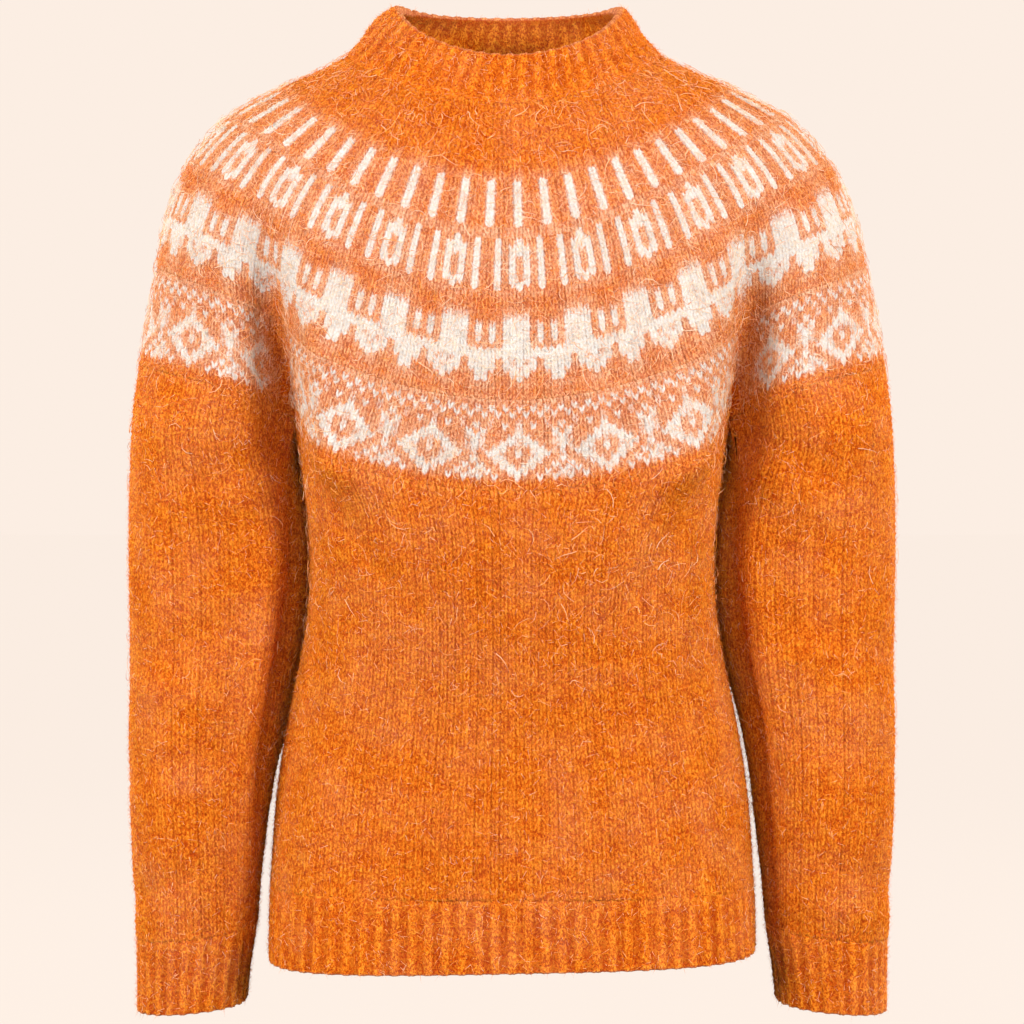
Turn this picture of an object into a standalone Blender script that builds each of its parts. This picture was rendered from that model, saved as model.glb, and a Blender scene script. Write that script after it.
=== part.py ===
"""A round-yoke wool jumper, hollow, filled out as it is when worn, with its sleeves hanging down.

Units are metres and +Z is up. The front faces -Y. The origin is the middle of the neck opening, at the
height where the neckband meets the shoulders, because that is where a wearer holds the jumper up.

Each piece of knitting is a loft through level rings, one ring for each row of a table, and Solidify turns
it into a wall. The yoke is one ring that goes round both arms and the body. At its lower edge it divides
into the body and the two sleeves, and a short straight stretch under each arm closes those three tubes.
"""

import bisect
import itertools
import math

import bmesh
import bpy
from mathutils import Vector

OBJECT_NAME = "round_yoke_jumper"

WALL = 0.003  # thickness of the knitting
SEAM_GAP = 0.0009  # clear space between two pieces that meet edge to edge
UNDERARM_GAP = 0.0008  # clear space between the body and a sleeve where they join under the arm
UNDERARM_DROP = 0.0025  # how far below the yoke's creases that join starts
BODY_BAND = 0.006  # how far the body goes straight down from the yoke, so that their edges fit

FRONT_FACETS = 20  # facets of the body's front between its two sleeves, and of its back
SLEEVE_FACETS = 20  # facets of a sleeve outside the underarm
UNDERARM_FACETS = 5
NECK_FACETS = 40
CROWDING = 0.55  # how much shorter the facets beside a crease are, as a share of the average facet
FINE = 720  # points on a ring before it is divided evenly

# Rings of the neckband and the yoke, from the top edge down. share is the distance down the piece.
# half_width, front and back are where the ring lies at the side and in the middle of the front and the
# back. power is the plan's roundness (2 is an ellipse, more is squarer). The ring is side_z high at the
# side, and front_z and back_z in the middle of the front and the back, and droop is how late it turns down.
# crease is how deep the fold between arm and body cuts in, from 0 to 1, and crease_x is its distance from
# the middle. shift moves the ring sideways.
RING_COLUMNS = (
    "share", "half_width", "front", "back", "power", "side_z", "front_z", "back_z", "droop",
    "crease", "crease_x", "shift",
)
NECKBAND = (
    (0.00, 0.0790, -0.0590, 0.0650, 2.15, 0.0320, -0.0080, 0.0270, 1.0, 0.0, 0.150, -0.0015),
    (0.33, 0.0880, -0.0620, 0.0680, 2.15, 0.0205, -0.0190, 0.0165, 1.0, 0.0, 0.150, -0.0035),
    (0.66, 0.0965, -0.0660, 0.0710, 2.12, 0.0090, -0.0305, 0.0050, 1.1, 0.0, 0.150, -0.0045),
    (1.00, 0.1085, -0.0720, 0.0775, 2.08, -0.0030, -0.0410, -0.0070, 1.2, 0.0, 0.150, -0.0050),
)
YOKE = (
    (0.00, 0.1085, -0.0720, 0.0775, 2.08, -0.0030, -0.0410, -0.0070, 1.2, 0.00, 0.176, -0.0050),
    (0.08, 0.1295, -0.0800, 0.0840, 2.04, -0.0140, -0.0610, -0.0220, 1.3, 0.00, 0.176, -0.0045),
    (0.20, 0.1580, -0.0890, 0.0910, 2.00, -0.0265, -0.0935, -0.0480, 1.4, 0.00, 0.176, -0.0040),
    (0.36, 0.1970, -0.0975, 0.0970, 2.00, -0.0485, -0.1360, -0.0920, 1.5, 0.00, 0.174, -0.0030),
    (0.50, 0.2240, -0.1040, 0.1010, 2.05, -0.0790, -0.1730, -0.1340, 1.6, 0.06, 0.170, -0.0020),
    (0.65, 0.2405, -0.1090, 0.1040, 2.15, -0.1190, -0.2120, -0.1800, 1.7, 0.22, 0.164, -0.0010),
    (0.85, 0.2515, -0.1120, 0.1055, 2.32, -0.1750, -0.2640, -0.2400, 1.8, 0.50, 0.156, 0.0000),
    (1.00, 0.2605, -0.1125, 0.1055, 2.45, -0.2190, -0.3030, -0.2850, 1.9, 0.64, 0.151, 0.0000),
)
BODY_FLANK = 0.012  # how far a crease reaches towards the body, which turns into it steeply
SLEEVE_FLANK = 0.024  # how far it reaches towards the sleeve
ARM_START = 0.12  # the distance from the middle where a creased ring starts to narrow to the arm's depth
ARM_END = 0.18
ARM_SLIM = 0.28  # how much it narrows there, as a share of its crease
YOKE_SHARES = (0.0, 0.05, 0.12, 0.20, 0.30, 0.40, 0.50, 0.60, 0.70, 0.80, 0.90, 1.0)

# Level sections of the body below the underarm, by share of the way down to the hem ribbing. taper is how
# much narrower a section is behind its sides, where a sleeve lies against it.
BODY_COLUMNS = ("share", "half_width", "front", "back", "power", "taper")
BODY = (
    (0.10, 0.1455, -0.1125, 0.1055, 3.4, 0.02),
    (0.21, 0.1415, -0.1100, 0.1035, 3.3, 0.04),
    (0.34, 0.1410, -0.1065, 0.1005, 3.1, 0.05),
    (0.46, 0.1445, -0.1035, 0.0980, 3.0, 0.04),
    (0.59, 0.1530, -0.1025, 0.0985, 2.9, 0.02),
    (0.72, 0.1605, -0.1035, 0.1000, 3.0, 0.00),
    (0.84, 0.1655, -0.1050, 0.1020, 3.1, 0.00),
    (1.00, 0.1690, -0.1070, 0.1040, 3.2, 0.00),
)
HEM_RIB = (
    (0.00, 0.1690, -0.1070, 0.1040, 3.2, 0.00),
    (0.50, 0.1697, -0.1075, 0.1045, 3.3, 0.00),
    (1.00, 0.1700, -0.1080, 0.1050, 3.4, 0.00),
)
TAPER_START = -0.03  # the distance from front to back over which a section tapers
TAPER_END = 0.03
HEM_RIB_TOP_Z = -0.580
HEM_Z = -0.629
HEM_TILT = 0.02  # how much the hem rises towards +X, for each metre

# Sections of the sleeve on the +X side, by share of the way down to the cuff.
SLEEVE_COLUMNS = ("share", "centre_x", "centre_y", "half_width", "half_depth", "power")
SLEEVE = (
    (0.09, 0.2082, 0.0010, 0.0570, 0.0660, 2.25),
    (0.18, 0.2055, 0.0040, 0.0618, 0.0640, 2.5),
    (0.31, 0.2051, 0.0060, 0.0635, 0.0605, 2.7),
    (0.45, 0.2085, 0.0040, 0.0596, 0.0580, 2.5),
    (0.56, 0.2128, 0.0000, 0.0552, 0.0555, 2.35),
    (0.70, 0.2175, -0.0065, 0.0512, 0.0525, 2.2),
    (0.86, 0.2184, -0.0110, 0.0476, 0.0485, 2.1),
    (1.00, 0.2197, -0.0130, 0.0438, 0.0445, 2.1),
)
CUFF = (
    (0.00, 0.2197, -0.0130, 0.0438, 0.0445, 2.1),
    (0.50, 0.2215, -0.0140, 0.0412, 0.0420, 2.1),
    (1.00, 0.2233, -0.0150, 0.0394, 0.0400, 2.1),
)
CUFF_TOP_OUTER_Z = -0.620
CUFF_TOP_INNER_Z = -0.610
CUFF_END_OUTER_Z = -0.670
CUFF_END_INNER_Z = -0.663

WOOL = (0.791, 0.168, 0.018, 1.0)
YOKE_WOOL = (0.850, 0.330, 0.120, 1.0)  # orange and cream, as they mix over the colourwork


def row_at(table, columns, share):
    """The table's row at share, each column on a smooth curve through the rows."""
    shares = [row[0] for row in table]
    last = len(table) - 1
    i = min(max(bisect.bisect_right(shares, share) - 1, 0), last - 1)
    step = shares[i + 1] - shares[i]
    t = (share - shares[i]) / step

    def slope(k, column):
        low, high = max(k - 1, 0), min(k + 1, last)
        return (table[high][column] - table[low][column]) / (shares[high] - shares[low])

    row = {"share": share}
    for column, name in enumerate(columns[1:], start=1):
        start, end = table[i][column], table[i + 1][column]
        row[name] = (
            (2 * t**3 - 3 * t**2 + 1) * start
            + (t**3 - 2 * t**2 + t) * step * slope(i, column)
            + (3 * t**2 - 2 * t**3) * end
            + (t**3 - t**2) * step * slope(i + 1, column)
        )
    return row


def signed_power(value, power):
    return math.copysign(abs(value) ** power, value)


def plan(angle, half_width, front, back, power):
    """A point of a rounded outline. The angle is 0 at the middle of the front and grows towards +X."""
    depth = -front if math.cos(angle) >= 0 else back
    x = half_width * signed_power(math.sin(angle), 2 / power)
    y = -depth * signed_power(math.cos(angle), 2 / power)
    return x, y


def smooth_step(value, start, end):
    t = min(max((value - start) / (end - start), 0.0), 1.0)
    return t * t * (3 - 2 * t)


def yoke_ring(row):
    """The points of a neckband or yoke ring, starting at the middle of the front.

    A ring turns down towards the front and the back with its own length, so what a crease hides falls too.
    """
    points = []
    for i in range(FINE):
        x, y = plan(2 * math.pi * i / FINE, row["half_width"], row["front"], row["back"], row["power"])
        past_crease = abs(x) - row["crease_x"]
        reach = BODY_FLANK if past_crease < 0 else SLEEVE_FLANK
        fold = math.exp(-((past_crease / reach) ** 2))
        fold += ARM_SLIM * smooth_step(abs(x), ARM_START, ARM_END)
        points.append(Vector((x + row["shift"], y * (1 - row["crease"] * fold), 0.0)))
    quarter = FINE // 4
    fractions = ring_fractions(points) + [1.0]
    for i, point in enumerate(points):
        start = fractions[i // quarter * quarter]
        end = fractions[(i // quarter + 1) * quarter]
        part = (fractions[i] - start) / (end - start)
        from_middle = part if i // quarter in (0, 2) else 1 - part
        middle_z = row["front_z"] if i < quarter or i >= 3 * quarter else row["back_z"]
        fall = math.cos(math.pi / 2 * from_middle) ** row["droop"]
        point.z = row["side_z"] + (middle_z - row["side_z"]) * fall
    return points


def ring_fractions(points):
    """How far round a closed ring each of its points lies."""
    steps = [(b - a).length for a, b in zip(points, points[1:] + points[:1])]
    ends = list(itertools.accumulate(steps))
    return [0.0] + [end / ends[-1] for end in ends[:-1]]


def divided(points, fractions):
    """Points at these fractions of the way round a closed ring."""
    marks = ring_fractions(points) + [1.0]
    closed = points + points[:1]
    found = []
    for fraction in fractions:
        i = bisect.bisect_right(marks, fraction % 1.0) - 1
        t = (fraction % 1.0 - marks[i]) / (marks[i + 1] - marks[i])
        found.append(closed[i].lerp(closed[i + 1], t))
    return found


def pulled(points, towards):
    """A ring with half a seam's gap taken off it, along the lines to the next ring of its piece."""
    return [p + (q - p).normalized() * SEAM_GAP / 2 for p, q in zip(points, towards)]


def crowded(start, end, facets):
    """The start of each facet between two creases, with the facets shorter towards the creases."""
    starts = []
    for i in range(facets):
        turn = 2 * math.pi * i / facets
        starts.append(start + (end - start) * (turn - CROWDING * math.sin(turn)) / (2 * math.pi))
    return starts


def mirrored(points):
    """The same ring on the other side, still going anticlockwise seen from above."""
    return [Vector((-p.x, p.y, p.z)) for p in reversed(points)]


def crease_fractions():
    """How far round the yoke's lower edge its two creases on the +X side lie, front and back."""
    fine = yoke_ring(row_at(YOKE, RING_COLUMNS, 1.0))
    crease_x = YOKE[-1][RING_COLUMNS.index("crease_x")]
    side = range(FINE // 2)
    front = min((i for i in side if fine[i].y < 0), key=lambda i: abs(fine[i].x - crease_x))
    back = min((i for i in side if fine[i].y > 0), key=lambda i: abs(fine[i].x - crease_x))
    fractions = ring_fractions(fine)
    return fractions[front], fractions[back]


def yoke_fractions(front_crease, back_crease):
    """Where the yoke's edges lie round each of its rings, from the front crease on the +X side."""
    return (
        crowded(front_crease, back_crease, SLEEVE_FACETS)
        + crowded(back_crease, 1 - back_crease, FRONT_FACETS)
        + crowded(1 - back_crease, 1 - front_crease, SLEEVE_FACETS)
        + crowded(1 - front_crease, 1 + front_crease, FRONT_FACETS)
    )


def underarm(ring, front, back, side):
    """The straight edge from a front crease to a back crease, moved off the yoke and to one side."""
    offset = Vector((side * UNDERARM_GAP / 2, 0, -UNDERARM_DROP))
    return [
        ring[front].lerp(ring[back], i / UNDERARM_FACETS) + offset
        for i in range(UNDERARM_FACETS + 1)
    ]


def body_top(ring):
    """The body's top ring, from the middle of the front: the yoke's lower edge and the two underarms."""
    back_right = SLEEVE_FACETS
    back_left = back_right + FRONT_FACETS
    front_left = back_left + SLEEVE_FACETS
    front = ring[front_left + 1 :]
    back = ring[back_right + 1 : back_left]
    right_arm = underarm(ring, 0, back_right, -1)
    left_arm = underarm(ring, back_left, front_left, 1)
    middle = FRONT_FACETS // 2 - 1
    return front[middle:] + right_arm + back + left_arm + front[:middle]


def sleeve_top(ring):
    """The +X sleeve's top ring, from its outermost point: the yoke's lower edge and the underarm."""
    closed = ring[1:SLEEVE_FACETS] + underarm(ring, 0, SLEEVE_FACETS, 1)[::-1]
    first = max(range(len(closed)), key=lambda i: closed[i].x)
    return closed[first:] + closed[:first]


def body_section(row, fractions, heights):
    fine = []
    for i in range(FINE):
        x, y = plan(2 * math.pi * i / FINE, row["half_width"], row["front"], row["back"], row["power"])
        x *= 1 - row["taper"] * smooth_step(y, TAPER_START, TAPER_END)
        fine.append(Vector((x, y, 0.0)))
    return [Vector((p.x, p.y, z)) for p, z in zip(divided(fine, fractions), heights)]


def sleeve_section(row, fractions, heights):
    fine = []
    for i in range(FINE):
        angle = 2 * math.pi * i / FINE
        x = row["centre_x"] + row["half_width"] * signed_power(math.cos(angle), 2 / row["power"])
        y = row["centre_y"] + row["half_depth"] * signed_power(math.sin(angle), 2 / row["power"])
        fine.append(Vector((x, y, 0.0)))
    return [Vector((p.x, p.y, z)) for p, z in zip(divided(fine, fractions), heights)]


def levels(start, end, share):
    return [a + (b - a) * share for a, b in zip(start, end)]


def tilted(ring, outer_z, inner_z):
    """Heights on a plane that is outer_z high at the ring's greatest x and inner_z high at its least."""
    inner_x = min(p.x for p in ring)
    width = max(p.x for p in ring) - inner_x
    return [inner_z + (outer_z - inner_z) * (p.x - inner_x) / width for p in ring]


def wool_material(name, colour):
    material = bpy.data.materials.new(name)
    material.use_nodes = True
    shader = material.node_tree.nodes["Principled BSDF"]
    shader.inputs["Base Color"].default_value = colour
    shader.inputs["Roughness"].default_value = 0.92
    shader.inputs["Metallic"].default_value = 0.0
    return material


def knitted_piece(name, rings, collection, colour=WOOL):
    """An object in the collection: a tube through the rings, top ring first, thickened on its inside."""
    mesh = bpy.data.meshes.new(name)
    grid = bmesh.new()
    rows = [[grid.verts.new(p) for p in ring] for ring in rings]
    for upper, lower in zip(rows, rows[1:]):
        for i in range(len(upper)):
            k = (i + 1) % len(upper)
            grid.faces.new((upper[i], lower[i], lower[k], upper[k]))
    grid.to_mesh(mesh)
    grid.free()
    mesh.shade_smooth()
    piece = bpy.data.objects.new(name, mesh)
    collection.objects.link(piece)
    wall = piece.modifiers.new("wall", "SOLIDIFY")
    wall.thickness = WALL
    wall.offset = -1.0
    wall.use_even_offset = True
    mesh.materials.append(wool_material(name + "_wool", colour))


def with_gaps(rings, top=True, bottom=True):
    """The same rings with half a seam's gap taken off the ends that meet another piece."""
    rings = list(rings)
    if top:
        rings[0] = pulled(rings[0], rings[1])
    if bottom:
        rings[-1] = pulled(rings[-1], rings[-2])
    return rings


def make_neckband(collection):
    even = [i / NECK_FACETS for i in range(NECK_FACETS)]
    rings = [divided(yoke_ring(dict(zip(RING_COLUMNS, row))), even) for row in NECKBAND]
    knitted_piece("neckband", with_gaps(rings, top=False), collection)


def make_yoke(collection, fractions):
    rings = [divided(yoke_ring(row_at(YOKE, RING_COLUMNS, share)), fractions) for share in YOKE_SHARES]
    knitted_piece("yoke", with_gaps(rings), collection, YOKE_WOOL)
    return rings[-1]


def make_body(collection, lower_yoke):
    top = body_top(lower_yoke)
    fractions = ring_fractions(top)
    top_z = [p.z for p in top]
    end_z = [HEM_RIB_TOP_Z] * len(top)
    rings = [top, [p - Vector((0, 0, BODY_BAND)) for p in top]]
    for row in BODY:
        rings.append(
            body_section(dict(zip(BODY_COLUMNS, row)), fractions, levels(top_z, end_z, row[0]))
        )
    knitted_piece("body", with_gaps(rings), collection)
    hem_z = [HEM_Z + HEM_TILT * p.x for p in rings[-1]]
    rib = [
        body_section(dict(zip(BODY_COLUMNS, row)), fractions, levels(end_z, hem_z, row[0]))
        for row in HEM_RIB
    ]
    knitted_piece("hem_rib", with_gaps(rib, bottom=False), collection)


def make_sleeves(collection, lower_yoke):
    top = sleeve_top(lower_yoke)
    fractions = ring_fractions(top)
    top_z = [p.z for p in top]
    flat = sleeve_section(dict(zip(SLEEVE_COLUMNS, SLEEVE[-1])), fractions, [0.0] * len(top))
    cuff_top_z = tilted(flat, CUFF_TOP_OUTER_Z, CUFF_TOP_INNER_Z)
    cuff_end_z = tilted(flat, CUFF_END_OUTER_Z, CUFF_END_INNER_Z)
    sleeve = [top]
    for row in SLEEVE:
        heights = levels(top_z, cuff_top_z, row[0])
        sleeve.append(sleeve_section(dict(zip(SLEEVE_COLUMNS, row)), fractions, heights))
    cuff = []
    for row in CUFF:
        heights = levels(cuff_top_z, cuff_end_z, row[0])
        cuff.append(sleeve_section(dict(zip(SLEEVE_COLUMNS, row)), fractions, heights))
    sleeve = with_gaps(sleeve)
    cuff = with_gaps(cuff, bottom=False)
    knitted_piece("sleeve_right", sleeve, collection)
    knitted_piece("cuff_right", cuff, collection)
    knitted_piece("sleeve_left", [mirrored(ring) for ring in sleeve], collection)
    knitted_piece("cuff_left", [mirrored(ring) for ring in cuff], collection)


def main():
    for thing in list(bpy.data.objects):
        bpy.data.objects.remove(thing, do_unlink=True)
    collection = bpy.data.collections.new(OBJECT_NAME)
    bpy.context.scene.collection.children.link(collection)
    front_crease, back_crease = crease_fractions()
    make_neckband(collection)
    lower_yoke = make_yoke(collection, yoke_fractions(front_crease, back_crease))
    make_body(collection, lower_yoke)
    make_sleeves(collection, lower_yoke)


main()
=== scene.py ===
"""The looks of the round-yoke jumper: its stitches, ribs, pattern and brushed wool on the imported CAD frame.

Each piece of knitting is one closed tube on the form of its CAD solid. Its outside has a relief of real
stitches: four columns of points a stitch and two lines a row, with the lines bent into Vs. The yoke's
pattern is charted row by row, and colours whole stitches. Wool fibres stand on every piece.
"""

import math
from dataclasses import dataclass

import bmesh
import bpy
import numpy as np
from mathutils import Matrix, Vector


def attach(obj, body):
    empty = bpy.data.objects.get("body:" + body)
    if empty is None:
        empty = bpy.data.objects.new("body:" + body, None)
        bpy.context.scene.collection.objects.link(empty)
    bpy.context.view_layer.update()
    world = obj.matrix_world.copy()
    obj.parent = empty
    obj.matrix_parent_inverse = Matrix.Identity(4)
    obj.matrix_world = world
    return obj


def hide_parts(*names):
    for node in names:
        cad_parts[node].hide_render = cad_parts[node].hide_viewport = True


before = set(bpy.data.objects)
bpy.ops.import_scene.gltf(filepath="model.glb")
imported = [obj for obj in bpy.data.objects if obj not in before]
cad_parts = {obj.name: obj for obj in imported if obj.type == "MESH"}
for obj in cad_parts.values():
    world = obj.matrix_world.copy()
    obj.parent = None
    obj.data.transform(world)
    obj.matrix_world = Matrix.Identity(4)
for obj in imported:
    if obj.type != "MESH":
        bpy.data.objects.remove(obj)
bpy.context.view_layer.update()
random = np.random.default_rng(17)
norm = np.linalg.norm

# ---- the CAD's form, repeated from part.py

RING_COLUMNS = (
    "share", "half_width", "front", "back", "power", "side_z", "front_z", "back_z", "droop",
    "crease", "crease_x", "shift",
)
NECKBAND = (
    (0.00, 0.0790, -0.0590, 0.0650, 2.15, 0.0320, -0.0080, 0.0270, 1.0, 0.0, 0.150, -0.0015),
    (0.33, 0.0880, -0.0620, 0.0680, 2.15, 0.0205, -0.0190, 0.0165, 1.0, 0.0, 0.150, -0.0035),
    (0.66, 0.0965, -0.0660, 0.0710, 2.12, 0.0090, -0.0305, 0.0050, 1.1, 0.0, 0.150, -0.0045),
    (1.00, 0.1085, -0.0720, 0.0775, 2.08, -0.0030, -0.0410, -0.0070, 1.2, 0.0, 0.150, -0.0050),
)
YOKE = (
    (0.00, 0.1085, -0.0720, 0.0775, 2.08, -0.0030, -0.0410, -0.0070, 1.2, 0.00, 0.176, -0.0050),
    (0.08, 0.1295, -0.0800, 0.0840, 2.04, -0.0140, -0.0610, -0.0220, 1.3, 0.00, 0.176, -0.0045),
    (0.20, 0.1580, -0.0890, 0.0910, 2.00, -0.0265, -0.0935, -0.0480, 1.4, 0.00, 0.176, -0.0040),
    (0.36, 0.1970, -0.0975, 0.0970, 2.00, -0.0485, -0.1360, -0.0920, 1.5, 0.00, 0.174, -0.0030),
    (0.50, 0.2240, -0.1040, 0.1010, 2.05, -0.0790, -0.1730, -0.1340, 1.6, 0.06, 0.170, -0.0020),
    (0.65, 0.2405, -0.1090, 0.1040, 2.15, -0.1190, -0.2120, -0.1800, 1.7, 0.22, 0.164, -0.0010),
    (0.85, 0.2515, -0.1120, 0.1055, 2.32, -0.1750, -0.2640, -0.2400, 1.8, 0.50, 0.156, 0.0000),
    (1.00, 0.2605, -0.1125, 0.1055, 2.45, -0.2190, -0.3030, -0.2850, 1.9, 0.64, 0.151, 0.0000),
)
BODY_FLANK = 0.012  # how far a crease between arm and body reaches towards the body
SLEEVE_FLANK = 0.024
ARM_START = 0.12
ARM_END = 0.18
ARM_SLIM = 0.28
UNDERARM_GAP = 0.0008
UNDERARM_DROP = 0.0025
BODY_BAND = 0.006

BODY_COLUMNS = ("share", "half_width", "front", "back", "power", "taper")
BODY = (
    (0.10, 0.1455, -0.1125, 0.1055, 3.4, 0.02),
    (0.21, 0.1415, -0.1100, 0.1035, 3.3, 0.04),
    (0.34, 0.1410, -0.1065, 0.1005, 3.1, 0.05),
    (0.46, 0.1445, -0.1035, 0.0980, 3.0, 0.04),
    (0.59, 0.1530, -0.1025, 0.0985, 2.9, 0.02),
    (0.72, 0.1605, -0.1035, 0.1000, 3.0, 0.00),
    (0.84, 0.1655, -0.1050, 0.1020, 3.1, 0.00),
    (1.00, 0.1690, -0.1070, 0.1040, 3.2, 0.00),
)
HEM_RIB = (
    (0.00, 0.1690, -0.1070, 0.1040, 3.2, 0.00),
    (0.50, 0.1697, -0.1075, 0.1045, 3.3, 0.00),
    (1.00, 0.1700, -0.1080, 0.1050, 3.4, 0.00),
)
TAPER_START = -0.03
TAPER_END = 0.03
HEM_RIB_TOP_Z = -0.580
HEM_Z = -0.629
HEM_TILT = 0.02

SLEEVE_COLUMNS = ("share", "centre_x", "centre_y", "half_width", "half_depth", "power")
SLEEVE = (
    (0.09, 0.2082, 0.0010, 0.0570, 0.0660, 2.25),
    (0.18, 0.2055, 0.0040, 0.0618, 0.0640, 2.5),
    (0.31, 0.2051, 0.0060, 0.0635, 0.0605, 2.7),
    (0.45, 0.2085, 0.0040, 0.0596, 0.0580, 2.5),
    (0.56, 0.2128, 0.0000, 0.0552, 0.0555, 2.35),
    (0.70, 0.2175, -0.0065, 0.0512, 0.0525, 2.2),
    (0.86, 0.2184, -0.0110, 0.0476, 0.0485, 2.1),
    (1.00, 0.2197, -0.0130, 0.0438, 0.0445, 2.1),
)
CUFF = (
    (0.00, 0.2197, -0.0130, 0.0438, 0.0445, 2.1),
    (0.50, 0.2215, -0.0140, 0.0412, 0.0420, 2.1),
    (1.00, 0.2233, -0.0150, 0.0394, 0.0400, 2.1),
)
CUFF_TOP_OUTER_Z = -0.620
CUFF_TOP_INNER_Z = -0.610
CUFF_END_OUTER_Z = -0.670
CUFF_END_INNER_Z = -0.663

FINE = 1440  # points on a ring before it is divided evenly
UNDERARM_POINTS = 60
ROUND = 720  # columns of a surface
DOWN = 140  # rows of a surface
FOLD_END = 0.35  # how much of a soft fold's height is left at its ends
FOLD_FADE = 0.7  # how soon it gains its full height between them: less is sooner
FOLD_TIP = 1.6  # how far it reaches past its ends, in half widths


def signed_power(value, power):
    return np.sign(value) * np.abs(value) ** power


def row_at(table, columns, share):
    """The table's row at share, each column on a smooth curve through the rows."""
    rows = np.array(table)
    shares = rows[:, 0]
    slopes = np.empty_like(rows)
    slopes[1:-1] = (rows[2:] - rows[:-2]) / (shares[2:] - shares[:-2])[:, None]
    slopes[0] = (rows[1] - rows[0]) / (shares[1] - shares[0])
    slopes[-1] = (rows[-1] - rows[-2]) / (shares[-1] - shares[-2])
    i = int(np.clip(np.searchsorted(shares, share, side="right") - 1, 0, len(rows) - 2))
    step = shares[i + 1] - shares[i]
    t = (share - shares[i]) / step
    row = (
        (2 * t**3 - 3 * t**2 + 1) * rows[i]
        + (t**3 - 2 * t**2 + t) * step * slopes[i]
        + (3 * t**2 - 2 * t**3) * rows[i + 1]
        + (t**3 - t**2) * step * slopes[i + 1]
    )
    return dict(zip(columns, row))


def plan(row):
    """A rounded outline, from the middle of the front towards +X."""
    angle = 2 * np.pi * np.arange(FINE) / FINE
    depth = np.where(np.cos(angle) >= 0, -row["front"], row["back"])
    x = row["half_width"] * signed_power(np.sin(angle), 2 / row["power"])
    y = -depth * signed_power(np.cos(angle), 2 / row["power"])
    return x, y


def ring_fractions(ring):
    """How far round a closed ring each of its points lies, and 1 for its end."""
    steps = norm(np.roll(ring, -1, axis=0) - ring, axis=1)
    return np.concatenate([[0.0], np.cumsum(steps) / steps.sum()])


def evenly(ring):
    marks = ring_fractions(ring)
    closed = np.vstack([ring, ring[:1]])
    fractions = np.arange(ROUND) / ROUND
    return np.stack([np.interp(fractions, marks, closed[:, k]) for k in range(3)], axis=1)


def smooth_step(value, start, end):
    t = np.clip((value - start) / (end - start), 0.0, 1.0)
    return t * t * (3 - 2 * t)


def yoke_ring(row):
    """A ring of the neckband or the yoke, from the middle of the front."""
    x, y = plan(row)
    past_crease = np.abs(x) - row["crease_x"]
    reach = np.where(past_crease < 0, BODY_FLANK, SLEEVE_FLANK)
    fold = np.exp(-((past_crease / reach) ** 2)) + ARM_SLIM * smooth_step(np.abs(x), ARM_START, ARM_END)
    ring = np.stack([x + row["shift"], y * (1 - row["crease"] * fold), np.zeros(FINE)], axis=1)
    quarter = FINE // 4
    marks = ring_fractions(ring)
    index = np.arange(FINE) // quarter
    start, end = marks[index * quarter], marks[(index + 1) * quarter]
    part = (marks[:-1] - start) / (end - start)
    from_middle = np.where(index % 2 == 0, part, 1 - part)
    middle_z = np.where((index == 0) | (index == 3), row["front_z"], row["back_z"])
    fall = np.cos(np.pi / 2 * from_middle) ** row["droop"]
    ring[:, 2] = row["side_z"] + (middle_z - row["side_z"]) * fall
    return ring


def between(start, end):
    return start + (end - start) * np.linspace(0, 1, UNDERARM_POINTS)[:, None]


def lower_edge():
    """The yoke's lower ring, and how far round it the two creases on the +X side lie, front and back."""
    ring = yoke_ring(row_at(YOKE, RING_COLUMNS, 1.0))
    crease_x = YOKE[-1][RING_COLUMNS.index("crease_x")]
    half = ring[: FINE // 2]
    off = np.abs(half[:, 0] - crease_x)
    front = int(np.argmin(np.where(half[:, 1] < 0, off, 1.0)))
    back = int(np.argmin(np.where(half[:, 1] > 0, off, 1.0)))
    return ring, front, back


def body_top():
    ring, front, back = lower_edge()
    in_towards_body = np.array([-UNDERARM_GAP / 2, 0, -UNDERARM_DROP])
    right = between(ring[front], ring[back]) + in_towards_body
    half = np.vstack([ring[:front], right, ring[back : FINE // 2 + 1]])
    left = half[-2:0:-1] * np.array([-1, 1, 1])
    return np.vstack([half, left])


def sleeve_top():
    """The top ring of the sleeve on the +X side, from its outermost point."""
    ring, front, back = lower_edge()
    out_towards_sleeve = np.array([UNDERARM_GAP / 2, 0, -UNDERARM_DROP])
    inner = between(ring[back], ring[front]) + out_towards_sleeve
    closed = np.vstack([ring[front + 1 : back], inner])
    first = int(np.argmax(closed[:, 0]))
    return np.roll(closed, -first, axis=0)


def at_heights(x, y, heights):
    """A ring divided evenly in plan, with the heights of its points."""
    ring = evenly(np.stack([x, y, np.zeros(FINE)], axis=1))
    ring[:, 2] = heights
    return ring


def body_section(row, heights):
    x, y = plan(row)
    return at_heights(x * (1 - row["taper"] * smooth_step(y, TAPER_START, TAPER_END)), y, heights)


def sleeve_section(row, heights):
    angle = 2 * np.pi * np.arange(FINE) / FINE
    x = row["centre_x"] + row["half_width"] * signed_power(np.cos(angle), 2 / row["power"])
    y = row["centre_y"] + row["half_depth"] * signed_power(np.sin(angle), 2 / row["power"])
    return at_heights(x, y, heights)


def sections(section, table, columns, top_z, bottom_z):
    """A ring for each row of the table, on the way from the top to the bottom."""
    rows = [dict(zip(columns, row)) for row in table]
    return [section(row, top_z + (bottom_z - top_z) * row["share"]) for row in rows]


def tilted(ring, outer_z, inner_z):
    inner_x = ring[:, 0].min()
    return inner_z + (outer_z - inner_z) * (ring[:, 0] - inner_x) / np.ptp(ring[:, 0])


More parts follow.
